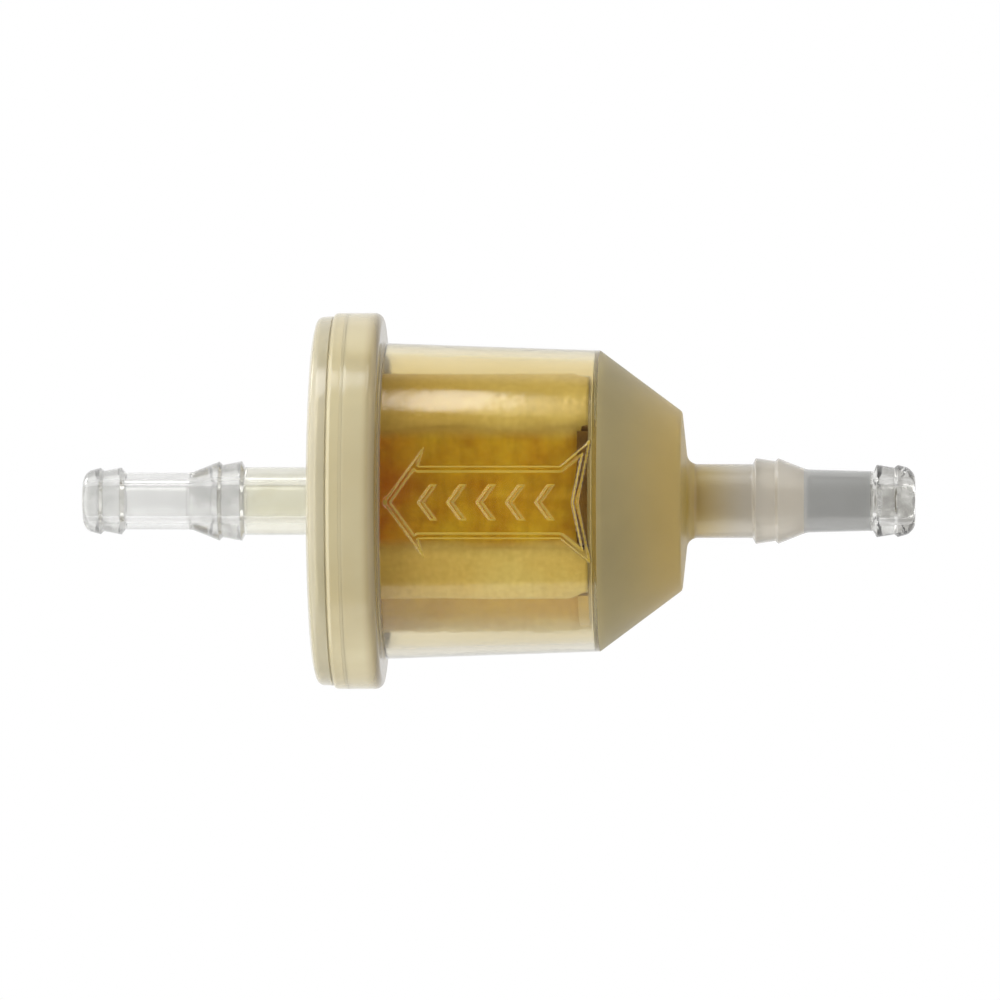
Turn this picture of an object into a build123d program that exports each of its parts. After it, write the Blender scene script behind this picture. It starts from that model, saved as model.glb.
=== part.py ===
"""Inline fuel filter: a clear nylon bowl and cap, welded together round a folded paper element.

Frame: +X runs along the filter's axis from the outlet end to the inlet end and +Z is up, in millimetres.
The origin is on the axis, halfway between the mouths of the two hose nozzles. Fuel enters at the +X
nozzle, passes the paper from the outside in, and leaves at the -X nozzle. The moulded flow arrow is on
the -Y side.
"""

from build123d import *
import os
from math import cos, radians, sin

# Overall
overall_length = 95.0
inlet_mouth_x = overall_length / 2
outlet_mouth_x = -overall_length / 2

# Flange on the bowl, rim of the cap, and the weld between them
weld_x = -17.1
weld_thickness = 0.3
weld_flash = 0.1
flange_radius = 21.45
flange_face_x = -13.1
flange_rounding = 0.9
flange_root_rounding = 0.4

# Bowl: a tapered cylinder, then a cone down to a shoulder and the neck of the inlet nozzle
wall = 1.0
body_radius_at_flange = 18.03
body_radius_at_cone = 17.17
bore_radius_at_flange = 17.0
cone_start_x = 11.6
cone_end_x = 20.9
cone_end_radius = 10.2
cone_rounding = 0.6
shoulder_x = 21.5
shoulder_radius = 5.5
neck_rounding = 1.1
funnel_radius = 3.4
funnel_length = 1.5

# Cap: a nearly flat disc with a rounded edge, a tongue inside the bowl and a spigot for the element
cap_face_x = -21.45
cap_dome = 0.5
cap_wall = 1.15
cap_edge_radius = 21.1
cap_edge_depth = 1.3
cap_edge_height = 2.0
groove_x = -18.7
groove_width = 1.6
groove_depth = 0.6
groove_rounding = 0.15
tongue_outer_radius = 16.85
tongue_inner_radius = 15.75
tongue_end_x = -14.6
spigot_radius = 4.2
spigot_end_x = -16.4

# Hose nozzles: how far each feature lies from the mouth
tip_rounding = 0.7
tip_length = 1.0
first_crest = 2.1
notch_end = 2.6
second_crest = 4.5
tube_start = 4.95
tube_end = 12.6
third_crest = 15.7
dip_end = 16.1
fourth_crest = 18.2
neck_start = 18.6
crest_land = 0.3

# Hose nozzles: radii of the tip, small barbs, notch, tube, large barbs, dip and neck
inlet_radii = (3.75, 4.17, 3.8, 3.45, 4.9, 4.56, 4.22)
outlet_radii = (3.5, 3.85, 3.45, 3.25, 4.56, 4.14, 3.88)
inlet_passage_radius = 1.9
outlet_passage_radius = 1.75

# Moulded flow arrow and the chevrons inside it, seen from -Y
relief_height = 0.25
stroke_width = 0.62
arrow_tip_x = -12.15
arrow_head_x = -8.6
arrow_head_half = 6.1
arrow_shaft_x = -8.2
arrow_shaft_half = 3.85
arrow_tail_x = 7.9
arrow_tail_tip_x = 11.0
arrow_tail_half = 6.95
arrow_notch_x = 9.6
chevron_count = 5
chevron_pitch = 3.3
chevron_half = 2.05
chevron_lean = 1.5
chevron_stroke = 0.85

# Folded paper element
lobe_middles = (52.5, 150.0, 248.0, 326.0)
lobe_half_angles = (18.5, 20.0, 20.0, 13.0)
lobe_radius = 15.4
lobe_rounding = 2.0
valley_radius = 5.6
valley_rounding = 0.9
paper_thickness = 0.55
paper_start_x = -15.1
paper_end_x = 10.5
seam_lobe = 1
seam_width = 4.0
seam_thickness = 0.35

# End plate, its seal, and the adhesive at the two ends of the paper
plate_radius = 15.5
plate_thickness = 0.8
collar_radius = 5.9
collar_bore_radius = 4.35
collar_length = 3.0
seal_seat_radius = 5.0
seal_seat_depth = 1.2
seal_section_radius = 0.38
potting_depth = 1.2
inlet_potting_radius = 14.2

# Places that follow from those
bowl_end_x = weld_x + weld_thickness / 2
cap_end_x = weld_x - weld_thickness / 2
cap_inside_x = cap_face_x + cap_wall
cap_edge_x = cap_face_x + cap_dome + cap_edge_depth
bore_radius_at_cone = body_radius_at_cone - wall
plate_x = paper_start_x - plate_thickness
collar_end_x = plate_x - collar_length
seal_radius = (spigot_radius + seal_seat_radius) / 2
seal_x = collar_end_x + seal_seat_depth / 2
overcut = 1.0


def half_section(outline):
    """The face above the X axis whose corners are (x, radius, rounding of that corner)."""
    points = [(x, radius) for x, radius, _ in outline]
    roundings = [rounding for _, _, rounding in outline]
    with BuildSketch(Plane.XZ) as section:
        with BuildLine():
            FilletPolyline(*points, radius=roundings, close=True)
        make_face()
    return section.sketch


def ring_section(start_x, end_x, inner_radius, outer_radius):
    """The half-section of a plain ring."""
    corners = [
        (start_x, inner_radius, 0),
        (start_x, outer_radius, 0),
        (end_x, outer_radius, 0),
        (end_x, inner_radius, 0),
    ]
    return half_section(corners)


def nozzle_outline(mouth_x, inwards, radii):
    """Corners of a two-step hose nozzle, from its mouth on the axis to the start of its neck."""
    tip, small_barb, notch, tube, large_barb, dip, neck = radii
    stations = [
        (0, 0, 0),
        (0, tip, tip_rounding),
        (tip_length, tip, 0),
        (first_crest - crest_land, small_barb, 0),
        (first_crest, small_barb, 0),
        (notch_end, notch, 0),
        (second_crest - crest_land, small_barb, 0),
        (second_crest, small_barb, 0),
        (tube_start, tube, 0),
        (tube_end, tube, 0),
        (third_crest - crest_land, large_barb, 0),
        (third_crest, large_barb, 0),
        (dip_end, dip, 0),
        (fourth_crest - crest_land, large_barb, 0),
        (fourth_crest, large_barb, 0),
        (neck_start, neck, 0),
    ]
    return [(mouth_x + inwards * distance, radius, rounding) for distance, radius, rounding in stations]


def body_radius(x):
    """Outer radius of the bowl's tapered wall at x."""
    share = (x - flange_face_x) / (cone_start_x - flange_face_x)
    return body_radius_at_flange + share * (body_radius_at_cone - body_radius_at_flange)


def section_point(radius, angle):
    """A point of the element's cross-section, given by its radius and its angle from -Y towards +Z."""
    return -radius * cos(radians(angle)), radius * sin(radians(angle))


# One chevron, its point towards -X
with BuildSketch() as chevron:
    with BuildLine():
        Polyline(
            (-chevron_lean / 2, 0),
            (chevron_lean / 2, chevron_half),
            (chevron_lean / 2 + chevron_stroke, chevron_half),
            (-chevron_lean / 2 + chevron_stroke, 0),
            (chevron_lean / 2 + chevron_stroke, -chevron_half),
            (chevron_lean / 2, -chevron_half),
            close=True,
        )
    make_face()

# Flow arrow and chevrons: strokes pushed out to the wall and trimmed to a skin that follows its taper
with BuildPart() as flow_marks:
    with BuildSketch(Plane.XZ.offset(bore_radius_at_cone)):
        with BuildLine():
            Polyline(
                (arrow_tip_x, 0),
                (arrow_head_x, arrow_head_half),
                (arrow_shaft_x, arrow_shaft_half),
                (arrow_tail_x, arrow_shaft_half),
                (arrow_tail_tip_x, arrow_tail_half),
                (arrow_notch_x, 0),
                (arrow_tail_tip_x, -arrow_tail_half),
                (arrow_tail_x, -arrow_shaft_half),
                (arrow_shaft_x, -arrow_shaft_half),
                (arrow_head_x, -arrow_head_half),
                close=True,
            )
        make_face()
        offset(amount=-stroke_width, kind=Kind.INTERSECTION, mode=Mode.SUBTRACT)
        with GridLocations(chevron_pitch, 0, chevron_count, 1):
            add(chevron.sketch)
    extrude(amount=3 * wall, both=True)
    skin = [
        (flange_face_x, body_radius(flange_face_x) - wall / 2, 0),
        (flange_face_x, body_radius(flange_face_x) + relief_height, 0),
        (cone_start_x, body_radius(cone_start_x) + relief_height, 0),
        (cone_start_x, body_radius(cone_start_x) - wall / 2, 0),
    ]
    revolve(half_section(skin), axis=Axis.X, mode=Mode.INTERSECT)

# Bowl: flange, tapered clear wall, cone and inlet nozzle, moulded in one with the flow arrow
bowl_outline = nozzle_outline(inlet_mouth_x, -1, inlet_radii) + [
    (shoulder_x, inlet_radii[-1], neck_rounding),
    (shoulder_x, shoulder_radius, 0),
    (cone_end_x, cone_end_radius, cone_rounding),
    (cone_start_x, body_radius_at_cone, 0),
    (flange_face_x, body_radius_at_flange, flange_root_rounding),
    (flange_face_x, flange_radius, flange_rounding),
    (bowl_end_x, flange_radius, 0),
    (bowl_end_x, 0, 0),
]
bowl_cavity = [
    (bowl_end_x - overcut, 0, 0),
    (bowl_end_x - overcut, bore_radius_at_flange, 0),
    (cone_start_x - wall / 2, bore_radius_at_cone, 0),
    (cone_end_x - wall / 2, cone_end_radius - wall, 0),
    (shoulder_x - wall, funnel_radius, 0),
    (shoulder_x - wall + funnel_length, inlet_passage_radius, 0),
    (inlet_mouth_x + overcut, inlet_passage_radius, 0),
    (inlet_mouth_x + overcut, 0, 0),
]
with BuildPart() as bowl:
    revolve(half_section(bowl_outline), axis=Axis.X)
    add(flow_marks.part)
    revolve(half_section(bowl_cavity), axis=Axis.X, mode=Mode.SUBTRACT)

# Cap: disc with a rounded edge and a groove, outlet nozzle, tongue and spigot, moulded in one
outlet_outline = nozzle_outline(outlet_mouth_x, 1, outlet_radii) + [
    (cap_edge_x, outlet_radii[-1], 0),
    (cap_edge_x, 0, 0),
]
groove = [
    (groove_x - groove_width / 2, flange_radius + overcut, 0),
    (groove_x, flange_radius - groove_depth, groove_rounding),
    (groove_x + groove_width / 2, flange_radius + overcut, 0),
]
cap_cavity = [
    (cap_inside_x, 0, 0),
    (cap_inside_x, tongue_inner_radius, cap_wall),
    (cap_end_x + overcut, tongue_inner_radius, 0),
    (cap_end_x + overcut, 0, 0),
]
with BuildPart() as outlet_cap:
    with BuildSketch(Plane.XZ):
        with BuildLine():
            edge = EllipticalCenterArc(
                (cap_edge_x, cap_edge_radius - cap_edge_height),
                cap_edge_depth,
                cap_edge_height,
                start_angle=90,
                arc_size=90,
            )
            Polyline(
                edge @ 0,
                (groove_x, cap_edge_radius),
                (groove_x, flange_radius),
                (cap_end_x, flange_radius),
                (cap_end_x, 0),
                (cap_face_x, 0),
            )
            Polyline((cap_face_x, 0), (cap_face_x, outlet_radii[-1]), edge @ 1)
        make_face()
    revolve(axis=Axis.X)
    revolve(half_section(outlet_outline), axis=Axis.X)
    revolve(half_section(groove), axis=Axis.X, mode=Mode.SUBTRACT)
    revolve(half_section(cap_cavity), axis=Axis.X, mode=Mode.SUBTRACT)
    revolve(ring_section(cap_end_x, tongue_end_x, tongue_inner_radius, tongue_outer_radius), axis=Axis.X)
    revolve(ring_section(cap_inside_x, spigot_end_x, 0, spigot_radius), axis=Axis.X)
    with Locations(Location((0, 0, 0), (0, 90, 0))):
        Cylinder(outlet_passage_radius, 2 * overall_length, mode=Mode.SUBTRACT)

# Weld bead: the ring of remelted nylon between cap and flange, squeezed out a little at its rim
with BuildPart() as weld_bead:
    revolve(
        ring_section(cap_end_x, bowl_end_x, bore_radius_at_flange, flange_radius + weld_flash),
        axis=Axis.X,
    )

# Cross-section of the folded paper: wide, uneven lobes with deep valleys between them
lobe_starts = [middle - half for middle, half in zip(lobe_middles, lobe_half_angles)]
lobe_ends = [middle + half for middle, half in zip(lobe_middles, lobe_half_angles)]
next_starts = lobe_starts[1:] + [lobe_starts[0] + 360]
with BuildSketch() as paper_outside:
    with BuildLine():
        for start, middle, end, next_start in zip(lobe_starts, lobe_middles, lobe_ends, next_starts):
            lobe_end = section_point(lobe_radius, end)
            valley_floor = section_point(valley_radius, (end + next_start) / 2)
            ThreePointArc(section_point(lobe_radius, start), section_point(lobe_radius, middle), lobe_end)
            Polyline(lobe_end, valley_floor, section_point(lobe_radius, next_start))
    make_face()
    fillet(vertices().filter_by(lambda corner: corner.center().length > valley_radius + wall), lobe_rounding)
    fillet(vertices().group_by(SortBy.DISTANCE)[0], valley_rounding)

with BuildSketch() as paper_section:
    add(paper_outside.sketch)
    offset(amount=-paper_thickness, mode=Mode.SUBTRACT)

with BuildPart() as pleated_paper:
    with BuildSketch(Plane.YZ.offset(paper_start_x)):
        add(paper_section.sketch)
    extrude(amount=paper_end_x - paper_start_x)

# Glue strip that joins the paper's two edges, inside the end of one lobe on the far side
seam_angle = lobe_middles[seam_lobe]
seam_distance = lobe_radius - paper_thickness - seam_thickness
with BuildPart() as paper_seam_glue:
    with BuildSketch(Plane.YZ.offset(paper_start_x + potting_depth)):
        with Locations(Location(section_point(seam_distance, seam_angle), -seam_angle)):
            Rectangle(seam_thickness, seam_width)
    extrude(amount=paper_end_x - paper_start_x - 2 * potting_depth)

# Adhesive at the inlet end: it closes the tube of paper and fills the ends of the valleys
with BuildPart() as inlet_end_potting:
    with BuildSketch(Plane.YZ.offset(paper_end_x - potting_depth)):
        Circle(inlet_potting_radius)
        add(paper_section.sketch, mode=Mode.SUBTRACT)
    extrude(amount=potting_depth)

# Adhesive at the outlet end: it bonds the paper to the end plate and leaves the middle open
with BuildPart() as outlet_end_potting:
    with BuildSketch(Plane.YZ.offset(paper_start_x)):
        Circle(plate_radius)
        Circle(collar_bore_radius, mode=Mode.SUBTRACT)
        add(paper_section.sketch, mode=Mode.SUBTRACT)
    extrude(amount=potting_depth)

# End plate: a disc with a collar that slides over the cap's spigot
with BuildPart() as outlet_end_plate:
    revolve(ring_section(plate_x, paper_start_x, collar_bore_radius, plate_radius), axis=Axis.X)
    revolve(ring_section(collar_end_x, plate_x, collar_bore_radius, collar_radius), axis=Axis.X)
    seat_end_x = collar_end_x + seal_seat_depth
    revolve(ring_section(collar_end_x, seat_end_x, 0, seal_seat_radius), axis=Axis.X, mode=Mode.SUBTRACT)

# Rubber ring between spigot and collar
with BuildPart() as spigot_seal:
    with BuildSketch(Plane.XZ):
        with Locations((seal_x, seal_radius)):
            Circle(seal_section_radius)
    revolve(axis=Axis.X)

pieces = {
    "bowl": bowl,
    "outlet_cap": outlet_cap,
    "weld_bead": weld_bead,
    "pleated_paper": pleated_paper,
    "paper_seam_glue": paper_seam_glue,
    "inlet_end_potting": inlet_end_potting,
    "outlet_end_potting": outlet_end_potting,
    "outlet_end_plate": outlet_end_plate,
    "spigot_seal": spigot_seal,
}
os.makedirs("parts", exist_ok=True)
for name, piece in pieces.items():
    piece.part.label = name
    export_step(piece.part, f"parts/{name}.step")
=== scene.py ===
# %% [markdown]
# # An inline fuel filter in clear nylon
# The filter is two mouldings, a bowl and a cap, welded together round a folded paper element. You look
# through one material to see the others, so the lesson is mostly about shells: a clear wall needs an
# outside and an inside, both with real corners, or light has nothing to bend at. The CAD model gives the
# frame, and every place below is measured from its nodes.

# %% Load the frame
import math

import bpy
import numpy as np
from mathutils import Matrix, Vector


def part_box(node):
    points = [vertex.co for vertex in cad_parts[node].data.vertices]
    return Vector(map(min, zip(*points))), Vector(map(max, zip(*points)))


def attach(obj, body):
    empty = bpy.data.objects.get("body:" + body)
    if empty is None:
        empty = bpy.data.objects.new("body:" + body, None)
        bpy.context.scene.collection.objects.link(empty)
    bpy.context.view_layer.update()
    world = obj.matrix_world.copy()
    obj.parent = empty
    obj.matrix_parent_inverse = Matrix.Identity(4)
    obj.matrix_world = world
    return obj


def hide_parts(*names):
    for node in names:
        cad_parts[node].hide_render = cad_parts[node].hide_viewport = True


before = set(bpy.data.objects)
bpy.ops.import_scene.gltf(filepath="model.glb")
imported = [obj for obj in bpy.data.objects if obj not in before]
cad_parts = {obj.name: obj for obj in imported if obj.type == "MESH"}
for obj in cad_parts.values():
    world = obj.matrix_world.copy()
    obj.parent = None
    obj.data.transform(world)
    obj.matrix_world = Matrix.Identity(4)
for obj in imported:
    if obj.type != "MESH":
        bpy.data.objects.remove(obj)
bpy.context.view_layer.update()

MM = 0.001
bowl_low, bowl_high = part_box("bowl")
cap_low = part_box("outlet_cap")[0]
bead_low, bead_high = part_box("weld_bead")
paper_low, paper_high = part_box("pleated_paper")
inlet_mouth = bowl_high[0] / MM
outlet_mouth = cap_low[0] / MM
flange_radius = bowl_high[2] / MM

# %% [markdown]
# ## Outlines with rounded corners
# Nearly everything here is round about one axis, so a piece starts as an outline in the plane of radius
# against length. It could be a spline, but a moulding is drawn as straight lines with a radius at each
# corner, and that is also the shortest way to write it: one row for each corner.

# %% Rounded outlines
def rounded_outline(corners, arc_points=7, step=0.6):
    """A closed outline through (u, v, rounding) corners, in millimetres.

    Each corner becomes an arc that touches both of its sides: its centre lies on the corner's bisector
    at rounding / sin(half the corner's angle), and it starts rounding / tan(half the angle) along each
    side. Between arcs the points lie on the straight side, closer together near its ends.
    """
    table = np.array(corners, float)
    corner, radius = table[:, :2], table[:, 2]
    before = np.roll(corner, 1, 0) - corner
    after = np.roll(corner, -1, 0) - corner
    before /= np.linalg.norm(before, axis=1)[:, None]
    after /= np.linalg.norm(after, axis=1)[:, None]
    half = np.arccos(np.clip((before * after).sum(1), -1, 1)) / 2
    reach = (radius / np.tan(half))[:, None]
    bisector = before + after
    bisector /= np.maximum(np.linalg.norm(bisector, axis=1), 1e-9)[:, None]
    centre = corner + bisector * (radius / np.sin(half))[:, None]
    start, end = corner + before * reach - centre, corner + after * reach - centre
    first = np.arctan2(start[:, 1], start[:, 0])
    sweep = np.angle(np.exp(1j * (np.arctan2(end[:, 1], end[:, 0]) - first)))
    turn = first[:, None] + sweep[:, None] * np.linspace(0, 1, arc_points)
    arcs = centre[:, None] + radius[:, None, None] * np.stack([np.cos(turn), np.sin(turn)], -1)
    stretches = []
    for index in range(len(corner)):
        run_start, run_end = arcs[index, -1], arcs[(index + 1) % len(corner), 0]
        count = max(2, math.ceil(np.linalg.norm(run_end - run_start) / step)) + 1
        share = 0.5 - 0.5 * np.cos(np.pi * np.arange(1, count) / count)
        keep = arcs[index] if radius[index] > 0 else arcs[index][:1]
        stretches += [keep, run_start + share[:, None] * (run_end - run_start)]
    return np.concatenate(stretches)


# %% [markdown]
# ## Turning an outline into a shell
# Spinning an outline about the X axis gives a grid: one row for each outline point, one column for each
# angle. Because the outline runs along the outside of the wall and back along the inside, the grid closes
# on itself both ways and the wall is a true solid. A Spin or Screw modifier would do the same, but a grid
# of numbers can also be pushed out a little where the moulding carries a raised mark.

# %% Grids and lathes
def grid_piece(name, points, materials, face_material=None):
    """A mesh from a grid of points that closes on itself along its rows and along its columns.

    Every cell of the grid is one face. The faces are turned outwards if the enclosed volume, the sum of
    each triangle's corner product over six, comes out negative.
    """
    rows, columns = points.shape[:2]
    index = np.arange(rows * columns).reshape(rows, columns)
    below, right = np.roll(index, -1, 0), np.roll(index, -1, 1)
    faces = np.stack([index, below, np.roll(below, -1, 1), right], -1).reshape(-1, 4)
    flat = points.reshape(-1, 3) * MM
    a, b, c, d = (flat[faces[:, k]] for k in range(4))
    volume = (np.einsum("ij,ij->i", a, np.cross(b, c)) + np.einsum("ij,ij->i", a, np.cross(c, d))).sum() / 6
    if volume < 0:
        faces = faces[:, ::-1]
    mesh = bpy.data.meshes.new(name)
    mesh.from_pydata(flat.tolist(), [], faces.tolist())
    mesh.polygons.foreach_set("use_smooth", np.ones(len(faces), bool))
    for material in materials:
        mesh.materials.append(material)
    if face_material is not None:
        mesh.polygons.foreach_set("material_index", face_material(flat[faces].mean(1) / MM).astype(np.int32))
    piece = bpy.data.objects.new(name, mesh)
    bpy.context.collection.objects.link(piece)
    print(f"{name}: {len(faces)} faces, {abs(volume) / MM**3:.0f} mm3")
    return piece


def lathe(outline, angles, relief=None):
    """Grid of an outline of (x, radius) points turned about X.

    The angle is measured from -Y towards +Z, so a point lies at (x, -radius cos a, radius sin a).
    Angles are one row for the whole outline, or one row for each of its points. The relief, a function
    of x, radius and angle, is added to the radius.
    """
    angle = np.broadcast_to(angles, (len(outline), np.shape(angles)[-1]))
    x = np.repeat(outline[:, :1], angle.shape[1], 1)
    radius = np.repeat(outline[:, 1:], angle.shape[1], 1)
    if relief is not None:
        radius = radius + relief(x, radius, angle)
    return np.stack([x, -radius * np.cos(angle), radius * np.sin(angle)], -1)


# %% [markdown]
# ## Moulded nylon
# Natural nylon is clear where it is thin and polished, milky where it is thick, and frosted where the
# mould was left rough. All three are the same Principled glass with different amounts of transmission
# and roughness. The effects that finishes share are node groups: a value that changes along the filter
# or up its height, a mottled colour, because no moulding is perfectly even, and a mask by the distance
# from the axis.

# %% Shared node groups
def node_group(name, inputs, outputs):
    """An empty shader group with the named float or colour sockets."""
    group = bpy.data.node_groups.new(name, "ShaderNodeTree")
    for direction, sockets in (("INPUT", inputs), ("OUTPUT", outputs)):
        for socket, kind in sockets.items():
            group.interface.new_socket(socket, in_out=direction, socket_type=kind)
    return group, group.nodes.new("NodeGroupInput"), group.nodes.new("NodeGroupOutput")


FLOAT, COLOR = "NodeSocketFloat", "NodeSocketColor"


def make_ramp(name, axis):
    """Value that goes smoothly from Start to End while a coordinate goes from From to To, in metres."""
    group, given, result = node_group(
        name, {"From": FLOAT, "To": FLOAT, "Start": FLOAT, "End": FLOAT}, {"Value": FLOAT}
    )
    place = group.nodes.new("ShaderNodeTexCoord")
    split = group.nodes.new("ShaderNodeSeparateXYZ")
    ramp = group.nodes.new("ShaderNodeMapRange")
    ramp.interpolation_type = "SMOOTHSTEP"
    group.links.new(place.outputs["Object"], split.inputs[0])
    group.links.new(split.outputs[axis], ramp.inputs["Value"])
    for socket, target in (("From", "From Min"), ("To", "From Max"), ("Start", "To Min"), ("End", "To Max")):
        group.links.new(given.outputs[socket], ramp.inputs[target])
    group.links.new(ramp.outputs["Result"], result.inputs["Value"])
    return group


def make_mottle():
    """Soft noise of the given scale that mixes two colours."""
    group, given, result = node_group(
        "mottle", {"Scale": FLOAT, "Low": COLOR, "High": COLOR}, {"Color": COLOR}
    )
    place = group.nodes.new("ShaderNodeTexCoord")
    noise = group.nodes.new("ShaderNodeTexNoise")
    noise.inputs["Detail"].default_value = 4
    contrast = group.nodes.new("ShaderNodeMapRange")
    contrast.inputs["From Min"].default_value = 0.32
    contrast.inputs["From Max"].default_value = 0.68
    mix = group.nodes.new("ShaderNodeMix")
    mix.data_type = "RGBA"
    group.links.new(place.outputs["Object"], noise.inputs["Vector"])
    group.links.new(given.outputs["Scale"], noise.inputs["Scale"])
    group.links.new(noise.outputs["Fac"], contrast.inputs["Value"])
    group.links.new(contrast.outputs["Result"], mix.inputs["Factor"])
    group.links.new(given.outputs["Low"], mix.inputs["A"])
    group.links.new(given.outputs["High"], mix.inputs["B"])
    group.links.new(mix.outputs["Result"], result.inputs["Color"])
    return group


def make_off_axis():
    """Distance of the surface from the X axis, as a mask from 0 at Low to 1 at High, in metres."""
    group, given, result = node_group("off_axis", {"Low": FLOAT, "High": FLOAT}, {"Mask": FLOAT})
    place = group.nodes.new("ShaderNodeTexCoord")
    flatten = group.nodes.new("ShaderNodeVectorMath")
    flatten.operation = "MULTIPLY"
    flatten.inputs[1].default_value = (0, 1, 1)
    length = group.nodes.new("ShaderNodeVectorMath")
    length.operation = "LENGTH"
    ramp = group.nodes.new("ShaderNodeMapRange")
    ramp.interpolation_type = "SMOOTHSTEP"
    group.links.new(place.outputs["Object"], flatten.inputs[0])
    group.links.new(flatten.outputs["Vector"], length.inputs[0])
    group.links.new(length.outputs["Value"], ramp.inputs["Value"])
    group.links.new(given.outputs["Low"], ramp.inputs["From Min"])
    group.links.new(given.outputs["High"], ramp.inputs["From Max"])
    group.links.new(ramp.outputs["Result"], result.inputs["Mask"])
    return group


along_axis = make_ramp("along_axis", "X")
up_the_wall = make_ramp("up_the_wall", "Z")
mottle = make_mottle()
off_axis = make_off_axis()
print("groups:", [group.name for group in bpy.data.node_groups])


# %% Helpers for materials
def new_material(name, **plain):
    """A material with one Principled shader; plain gives values for the shader's own sockets."""
    material = bpy.data.materials.new(name)
    material.use_nodes = True
    shader = material.node_tree.nodes["Principled BSDF"]
    for socket, value in plain.items():
        shader.inputs[socket.replace("_", " ")].default_value = value
    return material, shader


def place_group(material, group, **values):
    """A node of a shared group in a material, with its values."""
    node = material.node_tree.nodes.new("ShaderNodeGroup")
    node.node_tree = group
    for socket, value in values.items():
        node.inputs[socket].default_value = value
    return node


def add_bump(material, shader, scale, height, strength=1.0):
    """Fine noise that feeds the shader's normal through a Bump node; height is in metres."""
    tree = material.node_tree
    place = tree.nodes.new("ShaderNodeTexCoord")
    noise = tree.nodes.new("ShaderNodeTexNoise")
    noise.inputs["Scale"].default_value = scale
    noise.inputs["Detail"].default_value = 3
    bump = tree.nodes.new("ShaderNodeBump")
    bump.inputs["Distance"].default_value = height
    bump.inputs["Strength"].default_value = strength
    tree.links.new(place.outputs["Object"], noise.inputs["Vector"])
    tree.links.new(noise.outputs["Fac"], bump.inputs["Height"])
    tree.links.new(bump.outputs["Normal"], shader.inputs["Normal"])


def blend(material, factor, a, b, mode="MIX"):
    """A colour mix of two sockets or colours; the factor is a socket or a number."""
    node = material.node_tree.nodes.new("ShaderNodeMix")
    node.data_type = "RGBA"
    node.blend_type = mode
    for socket, value in (("Factor", factor), ("A", a), ("B", b)):
        if isinstance(value, bpy.types.NodeSocket):
            material.node_tree.links.new(value, node.inputs[socket])
        else:
            node.inputs[socket].default_value = value
    return node.outputs["Result"]


def two_tints(material, scale, low, high):
    """The colour output of a mottle between two tints."""
    return place_group(material, mottle, Scale=scale, Low=(*low, 1), High=(*high, 1)).outputs["Color"]


NYLON_IOR = 1.53


def nylon(name, tints, rough, span, spots, transmission, grain, height, way=along_axis, **plain):
    """Clear to cloudy nylon, with a mottled tint and a fine bump.

    A tint is a pair of colours that the mottle mixes. tints and rough hold one value, which is the same
    all over, or two: then the first changes smoothly into the second over the span, which is two places
    in metres. spots and grain are the scales of the mottle and of the bump.
    """
    material, shader = new_material(name, Transmission_Weight=transmission, IOR=NYLON_IOR, **plain)
    links = material.node_tree.links
    colour = two_tints(material, spots, *tints[0])
    if len(tints) > 1:
        share = place_group(material, way, From=span[0], To=span[1], Start=0, End=1)
        colour = blend(material, share.outputs["Value"], colour, two_tints(material, spots, *tints[1]))
    links.new(colour, shader.inputs["Base Color"])
    if len(rough) > 1:
        gloss = place_group(material, way, From=span[0], To=span[1], Start=rough[0], End=rough[1])
        links.new(gloss.outputs["Value"], shader.inputs["Roughness"])
    else:
        shader.inputs["Roughness"].default_value = rough[0]
    add_bump(material, shader, grain, height)
    return material


# %% [markdown]
# The bowl's wall is polished and faintly amber, its cone and neck look as if they came from a rough part
# of the mould, and the barbs near the mouth are polished again. The flange and the cap are thick, so they
# look milky: part of their light is scattered, which a transmission weight below one says. The cone's
# last tint and roughness are the neck's first ones, so no hard edge shows there. A moulding is one nylon
# all through: these finishes are painted by place and stand for its thickness, its
# surface and the light in it together.

# %% Nylon finishes
AMBER = ((0.88, 0.77, 0.47), (0.93, 0.83, 0.555))
STRAW = ((0.85, 0.79, 0.62), (0.90, 0.85, 0.70))
CREAM = ((0.67, 0.58, 0.345), (0.74, 0.66, 0.42))
SALLOW = ((0.57, 0.515, 0.34), (0.65, 0.59, 0.42))
# Darker tint for the flange next to the wall: painted shade.
FLANGE_EDGE_SHADE = ((0.32, 0.24, 0.10), (0.38, 0.295, 0.13))
GOLD = ((0.38, 0.26, 0.030), (0.45, 0.31, 0.042))
SMOKED = ((0.44, 0.36, 0.140), (0.52, 0.43, 0.18))
ROOT = ((0.60, 0.44, 0.100), (0.68, 0.51, 0.135))
BEIGE = ((0.57, 0.52, 0.42), (0.64, 0.59, 0.50))
GREY = ((0.33, 0.33, 0.315), (0.41, 0.41, 0.395))
CRYSTAL = ((0.38, 0.37, 0.34), (0.90, 0.90, 0.88))
WATER = ((0.48, 0.48, 0.46), (0.84, 0.84, 0.82))
CLEAR = ((0.91, 0.91, 0.90), (0.98, 0.98, 0.97))
PALE = ((0.91, 0.89, 0.76), (0.98, 0.97, 0.87))
GLOSSY = dict(Coat_Weight=0.8, Coat_Roughness=0.06)
# The wall's tint is straw low down and amber higher up: painted light and shade by height.
clear_nylon = nylon(
    "clear_nylon", (STRAW, AMBER), (0.07, 0.08), (-0.0165, -0.009),
    spots=60, transmission=1.0, grain=700, height=0.00001, way=up_the_wall,
)
frosted_nylon = nylon(
    "frosted_nylon", (SMOKED, ROOT), (0.42, 0.40), (0.013, 0.0208),
    spots=90, transmission=0.7, grain=9000, height=0.00002,
)
neck_nylon = nylon(
    "neck_nylon", (ROOT, BEIGE), (0.40, 0.29), (0.0208, 0.0285),
    spots=90, transmission=0.7, grain=9000, height=0.00001, **GLOSSY,
)
haze_nylon = nylon(
    "haze_nylon", (GREY,), (0.32, 0.29), (0.035, 0.042),
    spots=90, transmission=0.55, grain=5000, height=0.00001, **GLOSSY,
)
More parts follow.
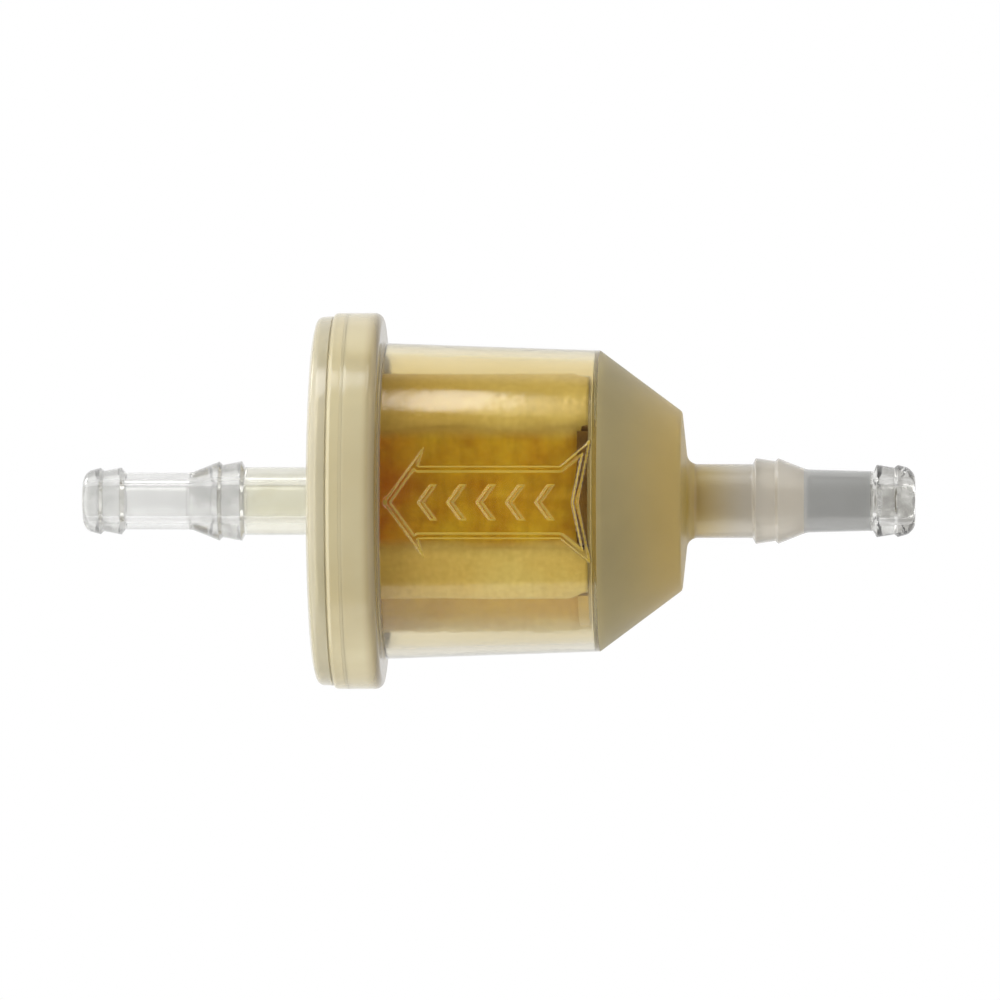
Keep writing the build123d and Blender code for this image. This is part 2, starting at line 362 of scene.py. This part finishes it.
tip_nylon = nylon(
    "tip_nylon", (CRYSTAL,), (0.04,), None,
    spots=500, transmission=0.95, grain=500, height=0.00003,
)
# The flange darkens towards its face next to the wall: painted shade on its rounded edge.
cloudy_nylon = nylon(
    "cloudy_nylon", (CREAM, FLANGE_EDGE_SHADE), (0.13, 0.16), (-0.0150, -0.0131),
    spots=80, transmission=0.5, grain=900, height=0.00001,
)
lid_nylon = nylon(
    "lid_nylon", (SALLOW,), (0.13, 0.15), (-0.0215, -0.0188),
    spots=80, transmission=0.5, grain=900, height=0.00001,
)
nozzle_nylon = nylon(
    "nozzle_nylon", (CLEAR, PALE), (0.12, 0.16), (-0.036, -0.026),
    spots=420, transmission=0.85, grain=500, height=0.00002, **GLOSSY,
)
barb_nylon = nylon(
    "barb_nylon", (WATER,), (0.10, 0.12), (-0.0475, -0.0289),
    spots=500, transmission=0.85, grain=500, height=0.00003, **GLOSSY,
)
# The flanks of the raised marks get a gold, mostly opaque tint: a painted sheen for the light their edges
# catch.
stroke_nylon = nylon(
    "stroke_nylon", (GOLD,), (0.5,), None,
    spots=200, transmission=0.25, grain=3000, height=0.00001, Specular_IOR_Level=0.05,
)
print("nylon finishes:", [material.name for material in bpy.data.materials if "nylon" in material.name])

# %% [markdown]
# ## The raised flow arrow
# The arrow that says which way the fuel runs is a low stroke standing out of the wall, and a row of
# chevrons inside it repeats the direction. They could be loose strips laid on the bowl, but in a clear
# part a loose strip shows its own underside. So they are relief: the distance from every grid point to
# the arrow's outline says how far the wall is pushed out there.

# %% Arrow outline as relief
RELIEF_HEIGHT = 0.16
STROKE_WIDTH = 0.77
EDGE_WIDTH = 0.24
ARROW = np.array([
    (-12.35, -0.15), (-7.65, 6.4), (-8.35, 3.96), (7.5, 3.96), (11.0, 6.95),
    (9.6, -0.15), (11.0, -7.1), (7.5, -4.29), (-8.35, -4.29), (-7.65, -6.7),
])
CHEVRON = np.array([(-0.75, 0), (0.75, 2.05), (1.6, 2.05), (0.1, 0), (1.6, -2.05), (0.75, -2.05)])
CHEVRON_STEP = 3.3
ROW_CENTRE = np.array([-1.2, -0.15])
CHEVRON_CENTRES = [ROW_CENTRE + (place * CHEVRON_STEP, 0) for place in range(-2, 3)]


def depth_inside(x, z, corners):
    """Distance from each point to a closed outline, positive inside it.

    The distance is the least over its sides of the distance to the nearest point of that side; a point is
    inside if a ray from it crosses the sides an odd number of times.
    """
    nearest = np.full(x.shape, np.inf)
    inside = np.zeros(x.shape, bool)
    for (ax, az), (bx, bz) in zip(corners, np.roll(corners, -1, 0)):
        side_x, side_z = bx - ax, bz - az
        along = ((x - ax) * side_x + (z - az) * side_z) / (side_x**2 + side_z**2)
        along = np.clip(along, 0, 1)
        nearest = np.minimum(nearest, np.hypot(x - ax - along * side_x, z - az - along * side_z))
        if side_z != 0:
            inside ^= ((az > z) != (bz > z)) & (x < ax + (z - az) * side_x / side_z)
    return np.where(inside, nearest, -nearest)


def smooth_step(value, low, high):
    """0 below low, 1 above high, and the cubic 3t^2 - 2t^3 between."""
    t = np.clip((value - low) / (high - low), 0, 1)
    return t * t * (3 - 2 * t)


MIDDLE_START = (-12.7, 17.5)
MIDDLE_TAPER = 0.034


def wall_middle(x):
    """Radius halfway through the bowl's tapered wall, a straight line along x."""
    return MIDDLE_START[1] - MIDDLE_TAPER * (x - MIDDLE_START[0])


def flow_marks(x, radius, angle):
    """Height of the arrow's stroke and the chevrons over the wall, as seen from -Y."""
    z = radius * np.sin(angle)
    depth = depth_inside(x, z, ARROW)
    height = smooth_step(depth, 0, EDGE_WIDTH) * smooth_step(STROKE_WIDTH - depth, 0, EDGE_WIDTH)
    for centre in CHEVRON_CENTRES:
        mark = depth_inside(x, z, CHEVRON + centre)
        height = np.maximum(height, smooth_step(mark, 0, EDGE_WIDTH))
    on_wall = (np.cos(angle) > 0) & (radius > wall_middle(x))
    return np.where(on_wall, RELIEF_HEIGHT * height, 0)


print("flow marks:", len(ARROW), "arrow corners,", len(CHEVRON_CENTRES), "chevrons")

# %% [markdown]
# ## The bowl
# One moulding: flange, tapered wall, cone, shoulder, neck and the two-step nozzle. The outline runs from
# the mouth back along the outside, round the flange and forward again along the bore. The columns are
# close together only where the arrow is, which keeps the mesh small.

# %% Nozzle outline
BARB = 0.12


def nozzle_corners(mouth, inwards, tip, crests, notch, tube, dip, neck):
    """Corners of a two-step nozzle's outside, from its mouth to its neck.

    Each row is a distance from the mouth, a radius and a rounding. crests are the small and the large
    barb's radius, with a notch and a dip between the two rings of each, and the tube's two radii are at
    its ends.
    """
    small, large = crests
    stations = [
        (0, tip, 1.5), (0.85, small - 0.34, 0.9), (2.0, small - 0.03, BARB), (2.4, notch, BARB),
        (4.4, small, BARB), (4.85, tube[0], BARB), (12.4, tube[1], 2.5), (15.6, large - 0.03, BARB),
        (15.98, dip, BARB), (18.18, large, BARB), (18.52, neck, BARB),
    ]
    return [(mouth + inwards * distance, radius, rounding) for distance, radius, rounding in stations]


# %% Bowl outline
FLANGE_FACE = -13.1
CONE_START = 11.6
WALL_RADII = (18.03, 17.17)
SHOULDER = (20.95, 10.2)
NECK_RADIUS = 4.22
BORE_START_RADIUS = 17.0
BORE_END = (11.1, 16.17)
INLET_PASSAGE = 1.9
WELD_GAP = 0.005
WELD_CORNER = 0.015
flange_back = bowl_low[0] / MM + WELD_GAP
bowl_outline = rounded_outline(
    nozzle_corners(inlet_mouth, -1, 3.05, (4.15, 4.9), 3.8, (3.4, 3.6), 4.56, NECK_RADIUS)
    + [
        (21.6, NECK_RADIUS, 1.2), (*SHOULDER, 0.6), (CONE_START, WALL_RADII[1], 0.15),
        (FLANGE_FACE, WALL_RADII[0], 0.45), (FLANGE_FACE, flange_radius, 0.95),
        (flange_back, flange_radius, WELD_CORNER), (flange_back, BORE_START_RADIUS, 0.15),
        (*BORE_END, 0.4), (20.2, 9.25, 0.8), (20.5, 3.4, 0.5), (22.0, INLET_PASSAGE, 0.8),
        (inlet_mouth, INLET_PASSAGE, 0.25),
    ],
    step=1.0,
)

# Extra rows where the arrow lies on the wall, so that its strokes have clean edges
ARROW_SPAN = (-12.3, 11.4)
ARROW_ROWS = 170
on_wall = bowl_outline[:, 1] > WALL_RADII[1] - 0.07
on_arrow = on_wall & (bowl_outline[:, 0] > ARROW_SPAN[0]) & (bowl_outline[:, 0] < ARROW_SPAN[1])
before, after = np.flatnonzero(on_arrow)[[0, -1]]
fine_rows = np.linspace(bowl_outline[before], bowl_outline[after], ARROW_ROWS)
bowl_outline = np.concatenate([bowl_outline[:before], fine_rows, bowl_outline[after + 1:]])
print("bowl outline:", len(bowl_outline), "points")

# %% Bowl columns
# Columns at fixed heights under the arrow, so that its long strokes run along them; the rest is even
COLUMN_STEP = 0.11
COLUMNS_EACH_WAY = 67
BACK_COLUMNS = 72
WALL_TAPER = 0.0348
column_height = np.arange(-COLUMNS_EACH_WAY, COLUMNS_EACH_WAY + 1) * COLUMN_STEP
wall_x = np.clip(bowl_outline[:, 0], FLANGE_FACE, CONE_START)
wall_radius = WALL_RADII[0] - WALL_TAPER * (wall_x - FLANGE_FACE)
front_angles = np.arcsin(column_height[None] / wall_radius[:, None])
share = np.linspace(0, 1, BACK_COLUMNS + 2)[None, 1:-1]
back_angles = front_angles[:, -1:] + share * (2 * np.pi + front_angles[:, :1] - front_angles[:, -1:])
bowl_angles = np.concatenate([front_angles, back_angles], 1)
print("bowl columns:", bowl_angles.shape[1])

# %% Bowl
NECK_START = 22.3
HAZE_START = 34.8
TIP_START = 42.3
FLANK = (0.04, 0.96)


def bowl_finish(centre):
    """Which nylon each face of the bowl shows.

    0 clear wall, 1 frosted cone, 2 cloudy flange, 3 flanks of the raised marks, 4 clear end of the
    nozzle, 5 its hazy middle, 6 the neck. A flank is where the marks' share of their full height lies
    between FLANK's two values.
    """
    x, radius = centre[:, 0], np.hypot(centre[:, 1], centre[:, 2])
    angle = np.arctan2(centre[:, 2], -centre[:, 1])
    height = flow_marks(x, radius, angle) / RELIEF_HEIGHT
    flank = (height > FLANK[0]) & (height < FLANK[1])
    nozzle = np.select([x > TIP_START, x > HAZE_START, x > NECK_START], [4, 5, 6], 1)
    finish = np.where(x > CONE_START, nozzle, np.where(flank, 3, 0))
    flange = (x < FLANGE_FACE + 0.3) & (radius > BORE_START_RADIUS + 0.1)
    return np.where(flange, 2, finish)


bowl = grid_piece(
    "bowl_shell",
    lathe(bowl_outline, bowl_angles, flow_marks),
    [clear_nylon, frosted_nylon, cloudy_nylon, stroke_nylon, tip_nylon, haze_nylon, neck_nylon],
    bowl_finish,
)
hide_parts("bowl")
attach(bowl, "root")

# %% [markdown]
# ## The cap and the weld
# The cap is the same kind of turned shell: nozzle, a disc that is almost flat, a rounded edge, a thin
# groove, and behind the weld a tongue that centres it in the bowl and a spigot that holds the element.
# Its two mould halves left a fine line along the nozzle, which is a ridge in the relief. The disc is
# thinner than the rim and looks a little greyer, so it has a finish of its own.

# %% Cap
OUTLET_PASSAGE = 1.75
OUTLET_NECK = 3.87
RIM_RADIUS = 21.08
GROOVE = -18.7
GROOVE_RADIUS = 20.86
TONGUE_END = -14.6
TONGUE_RADII = (15.75, 16.85)
CAP_INSIDE = -20.3
SPIGOT_END = -16.4
SPIGOT_RADIUS = 4.2
cap_join = bead_low[0] / MM - WELD_GAP
cap_outline = rounded_outline(
    nozzle_corners(outlet_mouth, 1, 3.0, (3.85, 4.57), 3.45, (3.25, 3.25), 4.14, OUTLET_NECK)
    + [
        (-21.44, OUTLET_NECK, 0.35), (-21.38, 11.0, 8.0), (-21.15, 16.5, 8.0), (-20.95, 19.3, 2.0),
        (-20.55, RIM_RADIUS - 0.1, 0.85), (GROOVE - 0.16, RIM_RADIUS, 0.08), (GROOVE, GROOVE_RADIUS, 0.06),
        (GROOVE + 0.1, flange_radius - 0.12, 0.06), (GROOVE + 0.4, flange_radius, 0.3),
        (cap_join, flange_radius, WELD_CORNER), (cap_join, TONGUE_RADII[1], 0.1),
        (TONGUE_END, TONGUE_RADII[1], 0.2), (TONGUE_END, TONGUE_RADII[0], 0.2),
        (CAP_INSIDE, TONGUE_RADII[0], 1.2), (CAP_INSIDE, SPIGOT_RADIUS, 0.3),
        (SPIGOT_END, SPIGOT_RADIUS, 0.2), (SPIGOT_END, OUTLET_PASSAGE, 0.2),
        (outlet_mouth, OUTLET_PASSAGE, 0.25),
    ],
    step=0.7,
)
PARTING_ANGLES = np.radians([35, 215])
PARTING_WIDTH = 0.12
PARTING_HEIGHT = 0.06
PARTING_END = -22.2


def parting_line(x, radius, angle):
    """A bell-shaped ridge along the nozzle at the two angles where the mould halves met."""
    ridge = 0
    for place in PARTING_ANGLES:
        away = np.angle(np.exp(1j * (angle - place))) * radius
        ridge = ridge + np.exp(-((away / PARTING_WIDTH) ** 2))
    outside = (x < PARTING_END) & (radius > OUTLET_PASSAGE + 0.6)
    return np.where(outside, PARTING_HEIGHT * ridge, 0)


NOZZLE_START = -21.7
SMALL_BARBS_END = -42.6
LARGE_BARBS = (-35.3, -28.9)
CAP_COLUMN_STEP = 1.875


def cap_finish(centre):
    """0 cloudy rim, 1 clear nozzle, 2 its barbs, which are thicker and greyer, 3 the disc."""
    x = centre[:, 0]
    barbs = (x < SMALL_BARBS_END) | ((x > LARGE_BARBS[0]) & (x < LARGE_BARBS[1]))
    return np.select([barbs, x < NOZZLE_START, x < GROOVE], [2, 1, 3], 0)


cap = grid_piece(
    "cap_shell",
    lathe(cap_outline, np.radians(np.arange(0, 360, CAP_COLUMN_STEP)), parting_line),
    [cloudy_nylon, nozzle_nylon, barb_nylon, lid_nylon],
    cap_finish,
)
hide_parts("outlet_cap")
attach(cap, "root")

# %% Weld bead
FLASH_HEIGHT = 0.02
BEAD_COLUMN_STEP = 2.5


def weld_flash(x, radius, angle):
    """The squeezed-out rim: a few slow waves round the bead, which stay below the CAD bead's height."""
    waves = 0.5 + 0.25 * np.sin(7 * angle + 0.4) + 0.25 * np.sin(17 * angle + 1.9)
    return np.where(radius > flange_radius - 0.1, FLASH_HEIGHT * waves, 0)


bead_outline = rounded_outline([
    (bead_low[0] / MM, BORE_START_RADIUS, 0.05), (bead_low[0] / MM, flange_radius, 0.012),
    (bead_high[0] / MM, flange_radius, 0.012), (bead_high[0] / MM, BORE_START_RADIUS, 0.05),
])
bead_angles = np.radians(np.arange(0, 360, BEAD_COLUMN_STEP))
bead = grid_piece("weld_ring", lathe(bead_outline, bead_angles, weld_flash), [cloudy_nylon])
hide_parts("weld_bead")
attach(bead, "root")

# %% [markdown]
# ## The paper
# Filter paper is stiffened with resin, which turns it gold, and folded into a few wide lobes. It could be
# a cloth simulation, but cured paper doesn't drape. Its cross-section is one closed outline, carried along
# X, and each point is then pushed in and out by slow waves, so that no fold is quite straight. The
# valleys are darker and more orange than the lobes: painted shade in the folds. Paler paper low down is
# painted light, and browner paper near the flange is painted shade; neither is the paper's own colour.

# %% Paper finish
def make_streaks():
    """Noise drawn out across the axis, so that it changes quickly along X and slowly round the paper."""
    group, given, result = node_group(
        "streaks", {"Scale": FLOAT, "Low": COLOR, "High": COLOR}, {"Color": COLOR}
    )
    place = group.nodes.new("ShaderNodeTexCoord")
    stretch = group.nodes.new("ShaderNodeMapping")
    stretch.inputs["Scale"].default_value = (1.0, 0.16, 0.16)
    noise = group.nodes.new("ShaderNodeTexNoise")
    noise.inputs["Detail"].default_value = 3
    contrast = group.nodes.new("ShaderNodeMapRange")
    contrast.inputs["From Min"].default_value = 0.36
    contrast.inputs["From Max"].default_value = 0.6
    mix = group.nodes.new("ShaderNodeMix")
    mix.data_type = "RGBA"
    group.links.new(place.outputs["Object"], stretch.inputs["Vector"])
    group.links.new(stretch.outputs["Vector"], noise.inputs["Vector"])
    group.links.new(given.outputs["Scale"], noise.inputs["Scale"])
    group.links.new(noise.outputs["Fac"], contrast.inputs["Value"])
    group.links.new(contrast.outputs["Result"], mix.inputs["Factor"])
    group.links.new(given.outputs["Low"], mix.inputs["A"])
    group.links.new(given.outputs["High"], mix.inputs["B"])
    group.links.new(mix.outputs["Result"], result.inputs["Color"])
    return group


streaks = make_streaks()


def times(material, a, b):
    """Product of two colour sockets or colours."""
    return blend(material, 1.0, a, b, "MULTIPLY")


# Height below which the valleys are painted gold like the lit lobes: painted light.
SIDE_TOP = (-0.0102, -0.0082)


def paper_material():
    """Gold paper: pale on the lobes and deep amber in the valleys.

    The lobes are paler low down, which is painted light, and browner towards the flange, which is painted
    shade. The valleys are darker than the lobes, which is painted shade in the folds. They are more orange
    towards the flange, which is painted shade as well, amber above SIDE_TOP and gold below it, like the
    lit lobes, which is painted light.
    """
    material, shader = new_material("resin_paper", Roughness=0.6)

    def along(start, end, way=along_axis):
        """Mask that goes from 0 to 1 between two places in metres."""
        return place_group(material, way, From=start, To=end, Start=0, End=1).outputs["Value"]

    def drawn_out(scale, low):
        """Streaks of the given scale, from white to the low colour."""
        return place_group(material, streaks, Scale=scale, Low=(*low, 1), High=(1, 1, 1, 1)).outputs["Color"]

    high_lobe = two_tints(material, 180, (0.85, 0.75, 0.37), (0.94, 0.85, 0.44))
    # Lobes paler low down: painted light.
    painted_light_lobe = two_tints(material, 180, (0.99, 0.88, 0.49), (1.0, 0.95, 0.58))
    lobe = blend(material, along(-0.005, 0.005, up_the_wall), painted_light_lobe, high_lobe)
    # Paper browner towards the flange: painted shade from the flange.
    flange_shade = blend(material, along(-0.014, 0.002), (0.90, 0.80, 0.62, 1), (1, 1, 1, 1))
    pale = times(material, times(material, lobe, flange_shade), drawn_out(1500, (0.96, 0.95, 0.93)))

    # The valleys' darker, more orange tint is painted shade in the folds.
    valley = two_tints(material, 300, (0.86, 0.56, 0.035), (1.0, 0.83, 0.09))
    # Darker and redder towards the flange: painted shade from the flange.
    flange_shaded_valley = two_tints(material, 260, (0.92, 0.40, 0.028), (1.0, 0.62, 0.05))
    amber = blend(material, along(-0.0140, -0.0065), flange_shaded_valley, valley)
    inner = blend(material, 0.8, amber, drawn_out(900, (0.84, 0.77, 0.66)), "MULTIPLY")
    # Below SIDE_TOP the valleys are gold like the lit lobes: painted light, where the painted shade of the
    # folds stops.
    side = two_tints(material, 180, (0.86, 0.64, 0.08), (0.94, 0.74, 0.12))
    deep = blend(material, along(*SIDE_TOP, up_the_wall), side, inner)

    outer = place_group(material, off_axis, Low=0.0126, High=0.0146).outputs["Mask"]
    fibre = two_tints(material, 1500, (0.89, 0.86, 0.80), (1, 1, 1))
    grained = blend(material, 0.8, blend(material, outer, deep, pale), fibre, "MULTIPLY")
    material.node_tree.links.new(grained, shader.inputs["Base Color"])
    add_bump(material, shader, 1400, 0.00007, 0.6)
    return material


resin_paper = paper_material()
print("paper finish:", resin_paper.name, "with", len(resin_paper.node_tree.nodes), "nodes")

# %% Paper element
LOBE_MIDDLES = np.array([52.5, 150.0, 248.0, 326.0])
LOBE_HALVES = np.array([18.5, 20.0, 20.0, 13.0])
LOBE_RADIUS = 15.35
VALLEY_RADIUS = 5.6
PAPER_THICKNESS = 0.55


def paper_section(narrowing, rounding):
    """Closed outline of the folded paper across the axis, as (-y, z); narrowing is in degrees a side."""
    starts, ends = LOBE_MIDDLES - LOBE_HALVES + narrowing, LOBE_MIDDLES + LOBE_HALVES - narrowing
    floors = (ends + np.append(starts[1:], starts[0] + 360)) / 2
    rows = []
    for start, end, floor in zip(starts, ends, floors):
        for share, corner_rounding in ((0, rounding), (0.33, 4.0), (0.67, 4.0), (1, rounding)):
            rows.append((LOBE_RADIUS, start + share * (end - start), corner_rounding))
        rows.append((VALLEY_RADIUS, floor, 0.9))
    table = np.array(rows)
    turn = np.radians(table[:, 1])
    corners = np.stack([table[:, 0] * np.cos(turn), table[:, 0] * np.sin(turn), table[:, 2]], -1)
    return rounded_outline(corners, arc_points=6, step=0.45)


def resampled(outline, count):
    """The closed outline at equal steps of its own length."""
    closed = np.concatenate([outline, outline[:1]])
    length = np.append(0, np.cumsum(np.linalg.norm(np.diff(closed, axis=0), axis=1)))
    at = np.linspace(0, length[-1], count, endpoint=False)
    return np.stack([np.interp(at, length, closed[:, k]) for k in range(2)], -1)


def paper_grid(columns=420, rows=58):
    """The paper as a closed sheet: outside, end, inside, end.

    A point is the section's point at its share of the way round, moved along the section's normal by the
    sheet's half thickness and by slow waves; towards the inlet end the section narrows.
    """
    along = np.linspace(paper_low[0] / MM + 0.05, paper_high[0] / MM, rows)
    plain, narrow = resampled(paper_section(0, 0.9), columns), resampled(paper_section(2.5, 1.8), columns)
    pinch = smooth_step(along, along[-1] - 2.2, along[-1])[:, None, None]
    section = plain[None] * (1 - pinch) + narrow[None] * pinch
    tangent = np.roll(section, -1, 1) - np.roll(section, 1, 1)
    tangent /= np.linalg.norm(tangent, axis=2)[:, :, None]
    normal = np.stack([tangent[..., 1], -tangent[..., 0]], -1)
    turn = np.linspace(0, 2 * np.pi, columns, endpoint=False)[None]
    x = along[:, None]
    radius = np.linalg.norm(section, axis=2)
    waves = (
        0.10 * np.sin(9 * turn + 0.35 * x + 0.6) + 0.07 * np.sin(23 * turn - 0.55 * x + 2.0)
        + 0.05 * np.sin(41 * turn + 1.3 * x) * np.sin(0.8 * x + 1.0)
    )
    waves = waves * np.where(radius > LOBE_RADIUS - 0.6, 0.25, 1.0) - 0.12
    middle = section + normal * (waves - PAPER_THICKNESS / 2)[..., None]
    outside, inside = middle + normal * PAPER_THICKNESS / 2, middle - normal * PAPER_THICKNESS / 2
    sheets = []
    for sheet, order in ((outside, slice(None)), (inside, slice(None, None, -1))):
        grid = np.stack([np.repeat(x, columns, 1), -sheet[..., 0], sheet[..., 1]], -1)
        sheets.append(grid[order])
    return np.concatenate(sheets)


paper = grid_piece("folded_paper", paper_grid(), [resin_paper])
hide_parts("pleated_paper")
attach(paper, "root")

# %% [markdown]
# ## The inside pieces
# The adhesive, the end plate and the seal keep their CAD shape, because a plain disc or ring is just what
# they are. They get a finish of their own: the adhesive at the closed end is dark brown, which stands in
# part for the shade at the end of the valleys, and gold like the lit paper below a set height, where no
# dark valley shows, which is painted light. The adhesive behind the flange is a lighter brown, the plate
# is natural nylon with a satin surface, and the seal is rubber.

# %% Finishes for the CAD pieces
def plain_material(name, low, high, scale, bump_scale, bump_height, **plain):
    """A mottled, finely bumped surface with plain values for the rest."""
    material, shader = new_material(name, **plain)
    material.node_tree.links.new(two_tints(material, scale, low, high), shader.inputs["Base Color"])
    add_bump(material, shader, bump_scale, bump_height)
    return material


RESIN = dict(Roughness=0.3, Coat_Weight=0.4)


def adhesive_material():
    """Cured adhesive: dark brown above a set height, partly standing for shade; gold below it, painted
    light.
    """
    material, shader = new_material("cured_adhesive", **RESIN)
    # Gold below this height is painted light, like the lit paper; the dark brown above stands in part for
    # shade.
    above = place_group(material, up_the_wall, From=-0.0105, To=-0.0085, Start=0, End=1).outputs["Value"]
    gold = two_tints(material, 260, (0.68, 0.50, 0.08), (0.78, 0.59, 0.12))
    brown = two_tints(material, 260, (0.12, 0.062, 0.010), (0.25, 0.14, 0.022))
    material.node_tree.links.new(blend(material, above, gold, brown), shader.inputs["Base Color"])
    add_bump(material, shader, 500, 0.0001)
    return material


cured_adhesive = adhesive_material()
pale_adhesive = plain_material(
    "pale_adhesive", (0.46, 0.33, 0.12), (0.62, 0.47, 0.20), 260, 500, 0.0001, **RESIN,
)
plate_nylon = plain_material(
    "plate_nylon", (0.66, 0.60, 0.45), (0.74, 0.69, 0.54), 200, 2500, 0.00002, Roughness=0.45,
)
seal_rubber = plain_material(
    "seal_rubber", (0.018, 0.018, 0.018), (0.035, 0.034, 0.032), 900, 4000, 0.00002, Roughness=0.6,
)
CAD_FINISHES = {
    "inlet_end_potting": cured_adhesive,
    "outlet_end_potting": pale_adhesive,
    "paper_seam_glue": cured_adhesive,
    "outlet_end_plate": plate_nylon,
    "spigot_seal": seal_rubber,
}
for node, finish in CAD_FINISHES.items():
    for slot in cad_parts[node].material_slots:
        slot.material = finish
print("CAD pieces finished:", sorted(CAD_FINISHES))

# %% [markdown]
# ## Light, floor and camera
# A clear part is drawn by what it reflects and bends, so it needs a bright ground behind it and something
# darker in front, or its edges vanish. The world is white behind, brighter on both sides, most on the
# left, and dark in one upright band in front, which keeps a veil off the paper. Two softboxes hang
# overhead, a wide one for the patch of light on the flange and a narrow one for the streak on the wall,
# and a third lights the cap from the left. The floor is a plain pale disc, so far below that it hardly
# shows in the wall.
# The camera is a long way off with a long lens, so the two ends are drawn at one scale.

# %% World
BACK_LEVEL = 0.95
CEILING_LEVEL = 1.0
UNDER_LEVEL = 0.8
LEFT_LEVEL = 2.7
RIGHT_LEVEL = 1.15
FRONT_LEVEL = 0.08


def new_world():
    """A light tent: dark in a narrow upright band in front, bright on both sides, white behind.

    The level is blended smoothly by the direction's three parts: across for left and right, along the
    view for front and back, and height for the brighter ceiling behind the object. Where the camera
    looks past the object, it sees plain white.
    """
    world = bpy.data.worlds.new("light_tent")
    world.use_nodes = True
    tree = world.node_tree
    background = tree.nodes["Background"]
    background.inputs["Color"].default_value = (1, 1, 1, 1)

    def step_between(source, low, high, bottom, top):
        """A value that goes smoothly from bottom to top while the source goes from low to high."""
        ramp = tree.nodes.new("ShaderNodeMapRange")
        ramp.interpolation_type = "SMOOTHSTEP"
        for socket, value in (("From Min", low), ("From Max", high), ("To Min", bottom), ("To Max", top)):
            if isinstance(value, float):
                ramp.inputs[socket].default_value = value
            else:
                tree.links.new(value, ramp.inputs[socket])
        tree.links.new(source, ramp.inputs["Value"])
        return ramp.outputs["Result"]

    place = tree.nodes.new("ShaderNodeTexCoord")
    split = tree.nodes.new("ShaderNodeSeparateXYZ")
    sideways = tree.nodes.new("ShaderNodeMath")
    sideways.operation = "ABSOLUTE"
    tree.links.new(place.outputs["Generated"], split.inputs[0])
    tree.links.new(split.outputs["X"], sideways.inputs[0])
    sides = step_between(split.outputs["X"], -0.4, 0.4, LEFT_LEVEL, RIGHT_LEVEL)
    front = step_between(sideways.outputs[0], 0.12, 0.32, FRONT_LEVEL, sides)
    low_back = step_between(split.outputs["Z"], -0.75, -0.35, UNDER_LEVEL, BACK_LEVEL)
    back = step_between(split.outputs["Z"], 0.35, 0.65, low_back, CEILING_LEVEL)
    level = step_between(split.outputs["Y"], 0.12, 0.42, front, back)
    path = tree.nodes.new("ShaderNodeLightPath")
    seen = tree.nodes.new("ShaderNodeMath")
    seen.operation = "MAXIMUM"
    tree.links.new(level, seen.inputs[0])
    tree.links.new(path.outputs["Is Camera Ray"], seen.inputs[1])
    tree.links.new(seen.outputs[0], background.inputs["Strength"])
    return world


bpy.context.scene.world = new_world()
print("world levels:", UNDER_LEVEL, BACK_LEVEL, CEILING_LEVEL, LEFT_LEVEL, RIGHT_LEVEL, FRONT_LEVEL)


# %% Softboxes and floor
def softbox(name, centre, aim, size, watts):
    """An oval area light that faces its aim point."""
    lamp = bpy.data.lights.new(name, "AREA")
    lamp.shape = "ELLIPSE"
    lamp.size, lamp.size_y = size
    lamp.energy = watts
    holder = bpy.data.objects.new(name, lamp)
    holder.location = centre
    holder.visible_camera = False
    direction = np.array(aim) - np.array(centre)
    across = math.hypot(direction[0], direction[1])
    heading = math.atan2(direction[0], -direction[1]) + math.pi
    holder.rotation_euler = (math.atan2(across, -direction[2]), 0, heading)
    bpy.context.collection.objects.link(holder)
    print(f"{name}: {watts} W")


FLANGE_LAMP = (-0.115, -0.098, 0.50)
WALL_LAMP = (-0.0005, -0.098, 0.50)
SIDE_LAMP = (-0.40, 0.26, 0.24)
softbox("overhead_softbox", FLANGE_LAMP, (FLANGE_LAMP[0], 0, 0), (0.16, 0.20), 0.36)
softbox("slot_softbox", WALL_LAMP, (WALL_LAMP[0], 0, 0), (0.017, 0.19), 0.055)
softbox("side_softbox", SIDE_LAMP, (-0.02, 0, 0), (0.10, 0.16), 0.18)

FLOOR_DROP = 0.45
FLOOR_RADIUS = 0.22
bpy.ops.mesh.primitive_circle_add(
    vertices=96, radius=FLOOR_RADIUS, fill_type="NGON", location=(0, 0, -FLOOR_DROP)
)
floor = bpy.context.object
floor.name = "floor"
floor_material, floor_shader = new_material("floor_paint", Roughness=0.8)
floor_tint = two_tints(floor_material, 3, (0.80, 0.80, 0.80), (0.84, 0.84, 0.84))
floor_material.node_tree.links.new(floor_tint, floor_shader.inputs["Base Color"])
floor.data.materials.append(floor_material)

# %% Camera
VIEW_WIDTH = 0.1141
CAMERA_DISTANCE = 1.2
CAMERA_TURN = math.radians(2.2)
AIM = np.array([0.00014, 0, 0.00011])
camera = bpy.data.objects.new("camera", bpy.data.cameras.new("camera"))
camera.data.sensor_width = 36
camera.data.lens = camera.data.sensor_width * CAMERA_DISTANCE / VIEW_WIDTH
camera.data.clip_end = 20
camera.location = AIM + CAMERA_DISTANCE * np.array([math.sin(CAMERA_TURN), -math.cos(CAMERA_TURN), 0])
camera.rotation_euler = (math.pi / 2, 0, CAMERA_TURN)
bpy.context.collection.objects.link(camera)
bpy.context.scene.camera = camera
bpy.context.scene.view_settings.view_transform = "Standard"
print(f"camera: {camera.data.lens:.0f} mm lens at {CAMERA_DISTANCE} m")
